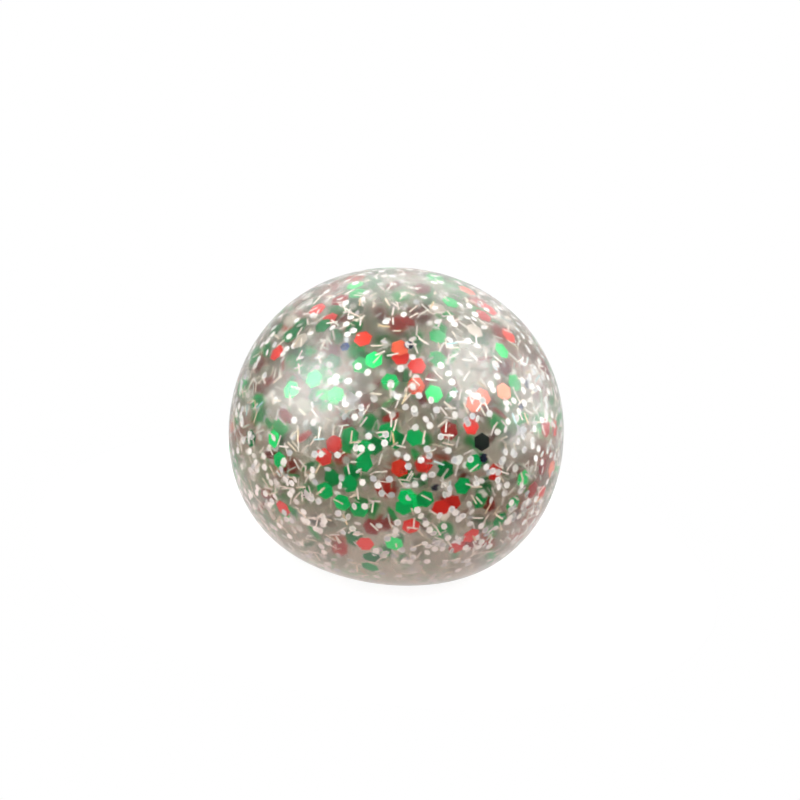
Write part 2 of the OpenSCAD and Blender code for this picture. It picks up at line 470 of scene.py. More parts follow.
def punched_hexagon(
    across: float, thick: float, rim: float, rise: float, dimple: float = 0.0
) -> Blank:
    """Models a six-sided piece whose faces rise or sink inside a rim.

    Args:
        across: Width across its flats.
        thick: The foil's thickness.
        rim: Width of the rim, as a share of the width across.
        rise: How far the faces rise, or sink where it is negative.
        dimple: Radius of a darker middle, as a share of the width across, or 0.

    Returns:
        The blank.
    """
    clear_selection()
    sixth = math.pi / 6
    bpy.ops.mesh.primitive_cylinder_add(
        vertices=6, radius=across / 2 / math.cos(sixth), depth=thick
    )
    piece = bpy.context.active_object
    deselect_mesh("FACE")
    for face in piece.data.polygons:
        face.select = abs(face.normal.z) > LEVEL
    bpy.ops.object.mode_set(mode="EDIT")
    bpy.ops.mesh.inset(thickness=rim * across, depth=rise)
    bpy.ops.mesh.select_all(action="SELECT")
    bpy.ops.transform.rotate(value=sixth, orient_axis="Z", center_override=(0, 0, 0))
    bpy.ops.object.mode_set(mode="OBJECT")
    return Blank.taken_from(piece, dimple * across)


def snipped_strip(long: float, wide: float, thick: float, curl: float) -> Blank:
    """Models a strip with curled ends.

    Args:
        long: Its length.
        wide: Its width.
        thick: The foil's thickness.
        curl: How far its ends rise.

    Returns:
        The blank.
    """
    fold = 0.2 * long
    clear_selection()
    bpy.ops.mesh.primitive_cube_add(size=1)
    piece = bpy.context.active_object
    bpy.ops.object.mode_set(mode="EDIT")
    bpy.ops.mesh.select_all(action="SELECT")
    bpy.ops.transform.resize(value=(long, wide, thick))
    for at in (-fold, fold):
        bpy.ops.mesh.select_all(action="SELECT")
        bpy.ops.mesh.bisect(plane_co=(at, 0, 0), plane_no=(1, 0, 0))
    deselect_mesh("VERT")
    for point in piece.data.vertices:
        point.select = abs(point.co.x) > 2 * fold
    bpy.ops.object.mode_set(mode="EDIT")
    bpy.ops.transform.translate(value=(0, 0, curl))
    bpy.ops.object.mode_set(mode="OBJECT")
    return Blank.taken_from(piece)


def punched_star(across: float, waist: float, thick: float) -> Blank:
    """Models a four-pointed star.

    Args:
        across: Width from point to point.
        waist: Width between its points.
        thick: The foil's thickness.

    Returns:
        The blank.
    """
    clear_selection()
    bpy.ops.mesh.primitive_circle_add(vertices=8, radius=across / 2, fill_type="TRIFAN")
    piece = bpy.context.active_object
    deselect_mesh("VERT")
    low, high = WAIST_ANGLES
    for point in piece.data.vertices:
        angle = math.degrees(math.atan2(point.co.y, point.co.x)) % 90
        point.select = point.co.length > TINY and low < angle < high
    bpy.ops.object.mode_set(mode="EDIT")
    bpy.ops.transform.resize(value=(waist / across, waist / across, 1))
    bpy.ops.mesh.select_all(action="SELECT")
    bpy.ops.mesh.extrude_region_move(TRANSFORM_OT_translate={"value": (0, 0, thick)})
    bpy.ops.mesh.select_all(action="SELECT")
    bpy.ops.mesh.normals_make_consistent(inside=False)
    bpy.ops.object.mode_set(mode="OBJECT")
    return Blank.taken_from(piece)


# Nodes that the finishes and the studio share


def new_material(name: str) -> tuple[bpy.types.Material, bpy.types.NodeTree, bpy.types.Node]:
    """Starts a node material.

    Args:
        name: The finish's name.

    Returns:
        The material, its node tree and its main shader.
    """
    mat = bpy.data.materials.new(name)
    mat.use_nodes = True
    tree = mat.node_tree
    return mat, tree, tree.nodes["Principled BSDF"]


def set_sockets(node: bpy.types.Node, values: dict[str, float | tuple[float, ...]]) -> None:
    """Sets several of a node's sockets, by their names."""
    for name, value in values.items():
        node.inputs[name].default_value = value


def grey(level: float) -> tuple[float, float, float, float]:
    """Gives a plain grey."""
    return level, level, level, 1.0


def add_noise(tree: bpy.types.NodeTree, scale: float, detail: float) -> bpy.types.NodeSocket:
    """Adds noise on the piece's own coordinates.

    Args:
        tree: The node tree.
        scale: Waves to the metre.
        detail: Octaves.

    Returns:
        The noise's value.
    """
    place = tree.nodes.new("ShaderNodeTexCoord")
    noise = tree.nodes.new("ShaderNodeTexNoise")
    set_sockets(noise, {"Scale": scale, "Detail": detail})
    tree.links.new(place.outputs["Object"], noise.inputs["Vector"])
    return noise.outputs["Fac"]


def map_noise(
    tree: bpy.types.NodeTree,
    noise: bpy.types.NodeSocket,
    levels: tuple[float, float],
    target: bpy.types.NodeSocket,
) -> None:
    """Feeds a socket from noise that is stretched to a range.

    Args:
        tree: The node tree.
        noise: The noise.
        levels: The results at low and at high noise.
        target: The socket to feed.
    """
    node = tree.nodes.new("ShaderNodeMapRange")
    low, high = levels
    set_sockets(
        node, {"From Min": NOISE_LOW, "From Max": NOISE_HIGH, "To Min": low, "To Max": high}
    )
    tree.links.new(noise, node.inputs["Value"])
    tree.links.new(node.outputs["Result"], target)


def add_bump(
    tree: bpy.types.NodeTree,
    height: bpy.types.NodeSocket,
    shader: bpy.types.Node,
    strength: float,
    distance: float,
) -> None:
    """Gives a shader bumps.

    Args:
        tree: The node tree.
        height: The height's socket.
        shader: The shader.
        strength: How strongly they show.
        distance: Their height.
    """
    bump = tree.nodes.new("ShaderNodeBump")
    set_sockets(bump, {"Strength": strength, "Distance": distance})
    tree.links.new(height, bump.inputs["Height"])
    tree.links.new(bump.outputs["Normal"], shader.inputs["Normal"])


def add_ramp(
    tree: bpy.types.NodeTree,
    value: bpy.types.NodeSocket,
    stops: Stops,
    target: bpy.types.NodeSocket,
) -> None:
    """Feeds a colour socket from a value by way of colour stops.

    Args:
        tree: The node tree.
        value: The value, from 0 to 1.
        stops: The colours and the values at which they stand.
        target: The socket to feed.
    """
    ramp = tree.nodes.new("ShaderNodeValToRGB")
    elements = ramp.color_ramp.elements
    while len(elements) < len(stops):
        elements.new(MIDDLE)
    for element, (at, colour) in zip(elements, stops):
        element.position = at
        element.color = (*colour, 1)
    tree.links.new(value, ramp.inputs["Fac"])
    tree.links.new(ramp.outputs["Color"], target)


def add_math(
    tree: bpy.types.NodeTree,
    operation: str,
    first: bpy.types.NodeSocket,
    second: bpy.types.NodeSocket | float,
) -> bpy.types.NodeSocket:
    """Adds a sum to a node tree.

    Args:
        tree: The node tree.
        operation: What is done.
        first: The first value.
        second: The second value, a socket or a number.

    Returns:
        The result.
    """
    node = tree.nodes.new("ShaderNodeMath")
    node.operation = operation
    tree.links.new(first, node.inputs[0])
    if isinstance(second, float):
        node.inputs[1].default_value = second
    else:
        tree.links.new(second, node.inputs[1])
    return node.outputs["Value"]


def add_fade(
    tree: bpy.types.NodeTree,
    value: bpy.types.NodeSocket,
    span: tuple[float, float],
    levels: tuple[float, float] = (0.0, 1.0),
) -> bpy.types.NodeSocket:
    """Fades smoothly from one level to another as a value goes through a span.

    Args:
        tree: The node tree.
        value: The value.
        span: Where the fade starts and where it ends.
        levels: The levels at the start and at the end.

    Returns:
        The level.
    """
    node = tree.nodes.new("ShaderNodeMapRange")
    node.interpolation_type = "SMOOTHSTEP"
    start, end = span
    low, high = levels
    set_sockets(node, {"From Min": start, "From Max": end, "To Min": low, "To Max": high})
    tree.links.new(value, node.inputs["Value"])
    return node.outputs["Result"]


def add_mix(
    tree: bpy.types.NodeTree,
    share: bpy.types.NodeSocket,
    first: bpy.types.NodeSocket,
    second: bpy.types.NodeSocket,
) -> bpy.types.NodeSocket:
    """Mixes two shaders.

    Args:
        tree: The node tree.
        share: The second shader's share.
        first: The first shader.
        second: The second shader.

    Returns:
        The mixed shader.
    """
    mix = tree.nodes.new("ShaderNodeMixShader")
    tree.links.new(share, mix.inputs["Fac"])
    tree.links.new(first, mix.inputs[1])
    tree.links.new(second, mix.inputs[2])
    return mix.outputs["Shader"]


# Finishes


@dataclass(frozen=True)
class ClearSkinFinish:
    """Clear soft rubber: glossy and faintly hazy, slightly wavy, with a rosy, darker tint at its
    foot that is painted shade from the floor.
    """

    crown_colour: Colour = (0.96, 0.94, 0.925)
    # painted shade: the foot colour is rosier and darker, standing in for shade near the floor
    foot_shade_colour: Colour = (0.96, 0.735, 0.67)
    foot_shade_span: tuple[float, float] = (4 * MM, 38 * MM)
    ior: float = 1.45
    rough: tuple[float, float] = (0.23, 0.28)
    gloss: float = 0.1
    gloss_ior: float = 4.0
    gloss_rough: float = 0.12
    smudge_scale: float = 90
    wave_scale: float = 60
    wave_strength: float = 0.12
    wave_height: float = 0.4 * MM

    def material(self) -> bpy.types.Material:
        """Makes the finish.

        Returns:
            The material.
        """
        mat, tree, shader = new_material("clear_skin")
        self.tint(tree, shader)
        set_sockets(
            shader,
            {
                "IOR": self.ior,
                "Transmission Weight": 1.0,
                "Coat Weight": self.gloss,
                "Coat IOR": self.gloss_ior,
                "Coat Roughness": self.gloss_rough,
            },
        )
        smudges = add_noise(tree, self.smudge_scale, FINE)
        map_noise(tree, smudges, self.rough, shader.inputs["Roughness"])
        waves = add_noise(tree, self.wave_scale, SOFT)
        add_bump(tree, waves, shader, self.wave_strength, self.wave_height)
        return mat

    def tint(self, tree: bpy.types.NodeTree, shader: bpy.types.Node) -> None:
        """Colours the skin by its height: rosier and darker towards the foot, as painted shade from
        the floor.

        Args:
            tree: The node tree.
            shader: The shader.
        """
        place = tree.nodes.new("ShaderNodeTexCoord")
        split = tree.nodes.new("ShaderNodeSeparateXYZ")
        tree.links.new(place.outputs["Object"], split.inputs["Vector"])
        height = add_fade(tree, split.outputs["Z"], self.foot_shade_span)
        # painted shade: the colour runs rosier and darker towards the foot
        stops = ((0.0, self.foot_shade_colour), (1.0, self.crown_colour))
        add_ramp(tree, height, stops, shader.inputs["Base Color"])


@dataclass(frozen=True)
class WetWallFinish:
    """A wall that the gel wets, so that it can't be seen."""

    name: str = "wet_wall"

    def material(self) -> bpy.types.Material:
        """Makes the finish.

        Returns:
            The material.
        """
        mat, _, shader = new_material(self.name)
        set_sockets(
            shader,
            {"Base Color": WHITE, "IOR": 1.0, "Roughness": 0.0, "Transmission Weight": 1.0},
        )
        return mat


@dataclass(frozen=True)
class GelFinish:
    """Clear gel with a warm grey tint that deepens with the depth of gel."""

    tint: Colour = (0.735, 0.71, 0.635)
    density: float = 40.0

    def material(self) -> bpy.types.Material:
        """Makes the finish, with the unseen surface of a wet wall.

        Returns:
            The material.
        """
        mat = WetWallFinish("clear_gel").material()
        tree = mat.node_tree
        soak = tree.nodes.new("ShaderNodeVolumeAbsorption")
        set_sockets(soak, {"Color": (*self.tint, 1), "Density": self.density})
        tree.links.new(soak.outputs["Volume"], tree.nodes["Material Output"].inputs["Volume"])
        return mat


@dataclass(frozen=True)
class SoftRubberFinish:
    """Milky soft rubber of the plug, or clear sealant."""

    name: str
    colour: Colour
    rough: tuple[float, float] = (0.35, 0.5)
    dark_grain: float = 0.9
    grain_scale: float = 700
    grain_strength: float = 0.2
    grain_height: float = 0.05 * MM
    milkiness: float = 0.3
    milk_depth: float = 1.0 * MM
    milk_colour: Colour = (1, 0.9, 0.8)

    def material(self) -> bpy.types.Material:
        """Makes the finish.

        Returns:
            The material.
        """
        mat, tree, shader = new_material(self.name)
        grain = add_noise(tree, self.grain_scale, FINE)
        dark = tuple(self.dark_grain * c for c in self.colour)
        add_ramp(tree, grain, ((0.0, dark), (1.0, self.colour)), shader.inputs["Base Color"])
        map_noise(tree, grain, self.rough, shader.inputs["Roughness"])
        set_sockets(
            shader,
            {
                "Subsurface Weight": self.milkiness,
                "Subsurface Radius": self.milk_colour,
                "Subsurface Scale": self.milk_depth,
            },
        )
        add_bump(tree, grain, shader, self.grain_strength, self.grain_height)
        return mat


@dataclass(frozen=True)
class FoilFinish:
    """Metallic film. Each cut piece has its own tone, from 0 to 1."""

    name: str
    tones: Stops
    metal: float = 0.9
    rough: tuple[float, float] = (0.22, 0.4)
    wrinkle: float = 0.25
    gleam: float = 0.5
    wrinkle_scale: float = 900
    wrinkle_height: float = 0.12 * MM

    def material(self) -> bpy.types.Material:
        """Makes the finish.

        Returns:
            The material.
        """
        mat, tree, shader = new_material(self.name)
        tone = tree.nodes.new("ShaderNodeAttribute")
        tone.attribute_name = "tone"
        add_ramp(tree, tone.outputs["Fac"], self.tones, shader.inputs["Base Color"])
        set_sockets(shader, {"Metallic": self.metal, "Specular IOR Level": self.gleam})
        crinkle = add_noise(tree, self.wrinkle_scale, SOFT)
        map_noise(tree, crinkle, self.rough, shader.inputs["Roughness"])
        add_bump(tree, crinkle, shader, self.wrinkle, self.wrinkle_height)
        return mat


# Sub-assemblies


@dataclass
class Placing:
    """How every piece of the ball is declared: the body that it rides on. It also holds how the
    squeeze flattens the ball, which nothing here uses.
    """

    joint: str = "squeeze"
    travel: float = 10.5 * MM
    keep: float = 0.65

    def settle(self, piece: bpy.types.Object, body: Body, node: str) -> None:
        """Declares a finished piece.

        Args:
            piece: The piece.
            body: The body that it rides on.
            node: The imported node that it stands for.
        """
        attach(piece, body.value)
        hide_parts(node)
        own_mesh(piece)
        LOG.info("%s: %d faces on %s", piece.name, len(piece.data.polygons), body.value)


@dataclass
class Closure:
    """The filler plug and its seal, in the foot."""

    bore: float = 3 * MM
    boss: float = 7.5 * MM
    boss_top: float = 4.5 * MM
    head: float = 5 * MM
    head_thick: float = 1 * MM
    recess: float = 0.4 * MM
    groove: tuple[float, float, float, float] = (1.2 * MM, 1.5 * MM, 1.9 * MM, 2.2 * MM)
    groove_deep: float = 0.25 * MM
    lip: float = 3.9 * MM
    lip_edge: float = 0.3 * MM
    lip_tall: float = 2 * MM
    seal: float = 0.3 * MM
    seal_round: float = 0.1 * MM
    gap: float = 0.05 * MM
    edge_round: float = 0.12 * MM
    steps: int = 64
    plug_finish: SoftRubberFinish = SoftRubberFinish("plug_rubber", (0.85, 0.83, 0.8))
    seal_finish: SoftRubberFinish = SoftRubberFinish("sealant", (0.9, 0.88, 0.8), (0.2, 0.3))

    @property
    def seat(self) -> tuple[float, float]:
        """Radius and height of the recess for the plug's head."""
        return self.head + self.gap, self.recess + self.head_thick + self.seal

    @property
    def shelf(self) -> float:
        """Height of the upper side of the plug's head, on which the seal lies."""
        return self.recess + self.head_thick

    @property
    def top(self) -> float:
        """Height of the plug's inner end."""
        return self.boss_top + self.gap + self.lip_tall

    def plug(self, placing: Placing) -> None:
        """Args:
            placing: How pieces are declared.
        """
        stem, neck = self.bore - self.gap, self.boss_top + self.gap
        groove_in, floor_in, floor_out, groove_out = self.groove
        bottom, groove_top = self.recess, self.recess + self.groove_deep
        piece = turned(
            "filler_plug_moulding",
            [
                (0, bottom),
                (groove_in, bottom),
                (floor_in, groove_top),
                (floor_out, groove_top),
                (groove_out, bottom),
                (self.head, bottom),
                (self.head, self.shelf),
                (stem, self.shelf),
                (stem, neck),
                (self.lip, neck),
                (self.lip, neck + self.lip_edge),
                (stem / 2, self.top),
                (0, self.top),
            ],
            self.steps,
        )
        soften_edges(piece, self.edge_round)
        smooth(piece)
        piece.data.materials.append(self.plug_finish.material())
        placing.settle(piece, Body.SKIN, "filler_plug")

    def bead(self, placing: Placing) -> None:
        """Args:
            placing: How pieces are declared.
        """
        edge, low, high = self.seal_round, self.shelf, self.shelf + self.seal
        piece = turned(
            "sealant_bead",
            [
                (self.bore, low),
                (self.head - edge, low),
                (self.head, low + edge),
                (self.head, low + 2 * edge),
                (self.head - edge, high),
                (self.bore, high),
                (self.bore, low),
            ],
            self.steps,
        )
        smooth(piece)
        piece.data.materials.append(self.seal_finish.material())
        placing.settle(piece, Body.SKIN, "plug_seal")

    def build(self, placing: Placing) -> None:
        """Builds the plug and then its seal."""
        self.plug(placing)
        self.bead(placing)


@dataclass
class Skin:
    """The clear skin: one wall all round, with a boss and a stepped bore in its foot."""

    ball: BallForm
    closure: Closure
    steps: int = 128
    inner_from: float = 0.8
    boss_reach: float = 1.01
    boss_edge: float = 0.1 * MM

    def shape(self) -> bpy.types.Object:
        """Models the skin.

        Returns:
            The skin.
        """
        c, wall = self.closure, self.ball.wall
        seat_r, seat_z = c.seat
        outside = [(seat_r, 0.0)] + self.ball.outline(0.0)
        inside = self.ball.outline(wall)[::-1]
        boss = [(c.boss, wall), (c.boss, c.boss_top), (c.bore, c.boss_top)]
        seat = [(c.bore, seat_z), (seat_r, seat_z), (seat_r, 0.0)]
        piece = turned("clear_skin_moulding", outside + inside + boss + seat, self.steps)
        smooth(piece)
        return piece

    def dress(self, piece: bpy.types.Object) -> None:
        """Gives the skin its finish, and its inner wall the wet one.

        Args:
            piece: The skin.
        """
        piece.data.materials.append(ClearSkinFinish().material())
        piece.data.materials.append(WetWallFinish().material())
        middles = np.array([f.center[:] for f in piece.data.polygons])
        inner = self.ball.depth(middles) > self.inner_from * self.ball.wall
        by_boss = np.hypot(middles[:, 0], middles[:, 1]) < self.boss_reach * self.closure.boss
        below_top = middles[:, 2] < self.closure.boss_top - self.boss_edge
        for face, wet in zip(piece.data.polygons, inner & ~(by_boss & below_top)):
            face.material_index = int(wet)

    def build(self, placing: Placing) -> None:
        """Args:
            placing: How pieces are declared.
        """
        piece = self.shape()
        self.dress(piece)
        placing.settle(piece, Body.SKIN, "outer_skin")


@dataclass
class Gel:
    """The gel, which fills the skin round the boss and the plug."""

    ball: BallForm
    closure: Closure
    steps: int = 96

    def build(self, placing: Placing) -> None:
        """Args:
            placing: How pieces are declared.
        """
        inset, gap = self.ball.gel_inset, self.ball.gel_gap
        notch_r, notch_z = self.closure.boss + gap, self.closure.top + gap
        notch = [(0.0, notch_z), (notch_r, notch_z), (notch_r, inset)]
        piece = turned("gel_body", notch + self.ball.outline(inset), self.steps)
        smooth(piece)
        piece.data.materials.append(GelFinish().material())
        placing.settle(piece, Body.GEL, "gel_fill")


@dataclass(frozen=True)
class Spot:
    """A piece of glitter that the photograph shows plainly, by its pixel."""

    px: float
    py: float
    tone: float = 0.5
    deep: float = 0.0
    upright: bool = False


@dataclass(frozen=True)
class Swell:
    """A patch of the photograph in which glitter lies thicker, or thinner by a negative number."""

    px: float
    py: float
    wide: float
    tall: float
    more: float


@dataclass
class GlitterSort:
    """One sort of glitter: its cut and finish, where it shows plainly, and how much more drifts.

    The tones of pieces that aren't seen plainly run from darkest to brightest. The numbers near
    and deep count what drifts beside the solids, next to the skin and farther in.
    """

    name: str
    node: str
    finish: FoilFinish
    blank: Blank
    seed: int
    spots: list[Spot] = field(default_factory=list)
    darkest: float = 0.0
    brightest: float = 1.0
    near: int = 0
    deep: int = 0
    swells: tuple[Swell, ...] = ()


@dataclass
class Laid:
    """Pieces of glitter in their places, each with its long, cross and face directions as rows."""

    places: np.ndarray
    turns: np.ndarray

    @staticmethod
    def solids(node: str, rounds: int = 12) -> "Laid":
        """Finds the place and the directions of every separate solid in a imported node.

        Args:
            node: The node.
            rounds: How often neighbouring corners are joined to one solid.

        Returns:
            The solids' places and directions, in a fixed order.
        """
        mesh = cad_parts[node].data
        corners, loops = np.empty(3 * len(mesh.vertices)), np.empty(len(mesh.loops), int)
        mesh.vertices.foreach_get("co", corners)
        mesh.loops.foreach_get("vertex_index", loops)
        rounded = np.round(corners.reshape(-1, 3), SAME_DIGITS)
        points, same = np.unique(rounded, axis=0, return_inverse=True)
        triangles = same.reshape(-1)[loops].reshape(-1, 3)
        group = np.arange(len(points))
        for _ in range(rounds):
            np.minimum.at(group, triangles.ravel(), np.repeat(group[triangles].min(axis=1), 3))
        found = [points[group == n] for n in np.unique(group)]
        found.sort(key=lambda solid: np.round(solid.mean(axis=0), ORDER_DIGITS).tolist())
        places = np.array([solid.mean(axis=0) for solid in found])
        return Laid(places, np.array([Laid.directions(solid) for solid in found]))

    @staticmethod
    def directions(solid: np.ndarray, slim: float = 2) -> np.ndarray:
        """Gives the long, cross and face directions of one flat solid.

        Args:
            solid: Its corners.
            slim: How many times longer than wide a strip is, at the least.

        Returns:
            Three rows of directions.
        """
        off = solid - solid.mean(axis=0)
        _, spans, axes = np.linalg.svd(off, full_matrices=False)
        reach = np.linalg.norm(off, axis=1).round(SAME_DIGITS)
        long = axes[0] if spans[0] > slim * spans[1] else off[np.argmax(reach)]
        return Laid.square(long, axes[2])

    @staticmethod
    def square(long: np.ndarray, face: np.ndarray) -> np.ndarray:
        """Squares a long direction to a face direction.

        Args:
            long: The way that the piece should point.
            face: The way that it faces.

        Returns:
            Three rows: the long, the cross and the face direction.
        """
        long = long - face * (long @ face)
        long /= np.linalg.norm(long)
        return np.stack([long, np.cross(face, long), face])


@dataclass
class GlitterCloud:
    """All the glitter in the gel."""

    ball: BallForm
    view: PhotoView
    ior: float = 1.45
    cover: float = 0.15 * MM
    same_place: float = 1.5 * MM
    near_layer: float = 1.0 * MM
    bare_crown: float = 57.5 * MM
    crown_share: float = 0.3
    thinnest: float = 0.1
    thickest: float = 2.2
    shown_from: float = 0.1
    plug_clear: tuple[float, float] = (10 * MM, 9 * MM)
    tries_each: int = 4
    flat_stray: float = 0.12
    near_stray: float = 0.22
    deep_stray: float = 1.6
    stray_depth: float = 6 * MM
    sink_cover: float = 0.06 * MM
    sink_rounds: int = 3
    window: float = 2.9 * MM
    windows: list[np.ndarray] = field(default_factory=list)

    def shown(self, places: np.ndarray) -> np.ndarray:
        """Tells which places are on the side that the photograph shows."""
        return self.ball.outward(places) @ self.view.axes()[2] > self.shown_from

    def thickness(self, places: np.ndarray, sort: GlitterSort) -> np.ndarray:
        """Gives how thick a sort of glitter lies at places next to the skin, where 1 is plain.

        Args:
            places: The places.
            sort: The sort of glitter.

        Returns:
            A number for each place.
        """
        px, py = self.view.project(places).T
        found = np.ones(len(places))
        for swell in sort.swells:
            off = ((px - swell.px) / swell.wide) ** 2 + ((py - swell.py) / swell.tall) ** 2
            found += swell.more * np.exp(-off)
        found = np.maximum(found, self.thinnest)
        found[places[:, 2] > self.bare_crown] *= self.crown_share
        return np.where(self.shown(places), found, 1.0)

    def drift(self, sort: GlitterSort, near: bool, rng: np.random.Generator) -> np.ndarray:
        """Scatters places through the gel, next to the skin or deeper.

        Args:
            sort: The sort of glitter.
            near: Whether the places are next to the skin.
            rng: The seeded source of chance.

        Returns:
            The places.
        """
        count = sort.near if near else sort.deep
        found = np.empty((0, 3))
        top = self.ball.gel_inset + self.cover
        middle = top + self.near_layer
        least, most = (top, middle) if near else (middle, self.ball.girth)
        half = self.ball.width / 2
        low, high = (-half, -half, 0), (half, half, self.ball.height)
        plug_r, plug_z = self.plug_clear
        while len(found) < count:
            tries = rng.uniform(low, high, (self.tries_each * count, 3))
            depth = self.ball.depth(tries)
            by_plug = (np.hypot(tries[:, 0], tries[:, 1]) < plug_r) & (tries[:, 2] < plug_z)
            good = (depth > least) & (depth < most) & ~by_plug
            if near:
                chance = rng.uniform(0, self.thickest, len(tries))
                good &= chance < self.thickness(tries, sort)
            for clear in self.windows:
                good &= np.linalg.norm(tries - clear, axis=1) > self.window
            found = np.vstack([found, tries[good]])
        return found[:count]

    def lay(self, places: np.ndarray, rng: np.random.Generator, flat: np.ndarray) -> np.ndarray:
        """Gives each piece its directions: flat to the skin close to it, and any way deeper down.

        Args:
            places: The places.
            rng: The seeded source of chance.
            flat: Which pieces lie flat to the skin.

        Returns:
            A turn for each piece, as three rows of directions.
        """
        out = self.ball.outward(places)
        depth = self.ball.depth(places) - self.ball.gel_inset
        loose = self.near_stray + self.deep_stray * np.clip(depth / self.stray_depth, 0, 1)
        stray = np.where(flat, self.flat_stray, loose)
        normal = out + rng.normal(0, 1, out.shape) * stray[:, None]
        normal /= np.linalg.norm(normal, axis=1)[:, None]
        side = np.cross(rng.normal(0, 1, out.shape), normal)
        side /= np.linalg.norm(side, axis=1)[:, None]
        return np.stack([side, np.cross(normal, side), normal], axis=1)

    def pin(self, sort: GlitterSort) -> np.ndarray:
        """Finds the places of the pieces that the photograph shows plainly.

        Args:
            sort: The sort of glitter.

        Returns:
            The places, in the order of the sort's spots.
        """
        top = self.ball.gel_inset + self.cover
        found = [
            self.view.below(self.ball, spot.px, spot.py, top + spot.deep, self.ior)
            for spot in sort.spots
        ]
        return np.array(found, float).reshape(-1, 3)

    def match(
        self, sort: GlitterSort, solids: Laid, tones: np.ndarray
    ) -> tuple[np.ndarray, list[float]]:
        """Gives the solids at plainly seen pieces those pieces' tones.

        A solid that points straight up in the photograph is turned that way, and the drifting
        glitter is kept clear of it.

        Args:
            sort: The sort of glitter.
            solids: Its solids, whose turns may change.
            tones: The solids' tones, which may change.

        Returns:
            The places and the tones of the plainly seen pieces that have no solid of their own.
        """
        places, extra_tones = [], []
        for place, spot in zip(self.pin(sort), sort.spots):
            off = np.linalg.norm(solids.places - place, axis=1)
            nearest = off.argmin()
            if off[nearest] >= self.same_place:
                places.append(place)
                extra_tones.append(spot.tone)
                continue
            tones[nearest] = spot.tone
            if spot.upright:
                face = solids.turns[nearest][2]
                solids.turns[nearest] = Laid.square(self.view.axes()[1], face)
                self.windows.append(solids.places[nearest])
        return np.array(places).reshape(-1, 3), extra_tones

    def sink(self, points: np.ndarray, out: np.ndarray) -> np.ndarray:
        """Moves pieces in until every corner is below the gel's surface.

        Args:
            points: The corners of each piece.
            out: The outward direction at each piece.

        Returns:
            The corners after the move.
        """
        least = self.ball.gel_inset + self.sink_cover
        for _ in range(self.sink_rounds):
            depth = self.ball.depth(points.reshape(-1, 3)).reshape(points.shape[:2])
            short = np.maximum(least - depth.min(axis=1), 0)
            points = points - (short[:, None] * out)[:, None, :]
        return points

    def build(self, sort: GlitterSort, placing: Placing) -> None:
        """The solids come first, then the plainly seen pieces that have no solid of their own, then
        what drifts beside them.

        Args:
            sort: The sort of glitter.
            placing: How pieces are declared.
        """
        rng = np.random.default_rng(sort.seed)
        solids = Laid.solids(sort.node)
        brightest = np.where(self.shown(solids.places), sort.brightest, 1.0)
        tones = rng.uniform(sort.darkest, brightest)
        plain, plain_tones = self.match(sort, solids, tones)
        drifting = np.vstack([self.drift(sort, True, rng), self.drift(sort, False, rng)])
        added = np.vstack([plain, drifting])
        spread = rng.uniform(sort.darkest, sort.brightest, len(drifting))
        turns = self.lay(added, rng, np.arange(len(added)) < len(plain))
        kept = sort.blank.copies(solids)
        new = self.sink(sort.blank.copies(Laid(added, turns)), self.ball.outward(added))
        all_tones = np.concatenate([tones, plain_tones, spread])
        piece = sort.blank.joined(sort.name, np.vstack([kept, new]), all_tones)
        piece.data.materials.append(sort.finish.material())
        placing.settle(piece, Body.GLITTER, sort.node)
        LOG.info("%s: %d in the solids, %d more", sort.name, len(kept), len(new))


def read_spots(rows: str, lower: float = 0.7) -> list[Spot]:
    """Reads plainly seen pieces.

    Args:
        rows: Lines of pixel, pixel, tone, depth in millimetres and, for a piece at the skin that
            points straight up, a fifth word.
        lower: How much deeper the others lie, in millimetres, under the small glitter.

    Returns:
        The pieces.
    """
    found = []
    for row in rows.strip().splitlines():
        words = row.split()
        px, py, tone, deep = (float(word) for word in words[:4])
        upright = len(words) > 4
        found.append(Spot(px, py, tone, (deep if upright else deep + lower) * MM, upright))
    return found


GREEN_SPOTS = """
482 441 0 0 upright
374 359 0.98 0.3
361 365 0.5 1.5
390 381 0.6 0.2
434 393 0.9 1
502 350 0.9 0.5
314 378 0.8 1
291 389 0.8 1
336 394 0.6 0.5
274 438 1 0.2
280 460 0.6 0.5
251 438 0.2 0.2
387 431 0.5 1
415 436 0.5 1.5
365 449 0.5 1
364 462 0.4 0.2
325 490 0.6 0.5
349 483 0.5 1
342 502 0.6 0.3
359 510 0.5 1
407 496 0.95 0.3
425 499 0.5 0.8
404 507 0.6 1.2
474 463 0.6 0.6
463 485 0.5 0.8
523 478 0.85 0.3
513 504 0.6 0.4
394 544 0.95 0.2
370 567 0.5 0.2
323 325 0.15 0.3
355 285 0.8 0.6
451 302 0.6 0.6
438 336 0.4 1.6
515 382 0.4 1.4
350 436 0.4 3
374 446 0.35 3.5
352 472 0.4 3
332 478 0.4 3
396 440 0.4 4
290 335 0.2 2
276 330 0.2 3
300 325 0.2 3.5
420 480 0.3 3
445 470 0.3 3.5
480 500 0.4 2.5
500 520 0.4 2.5
"""
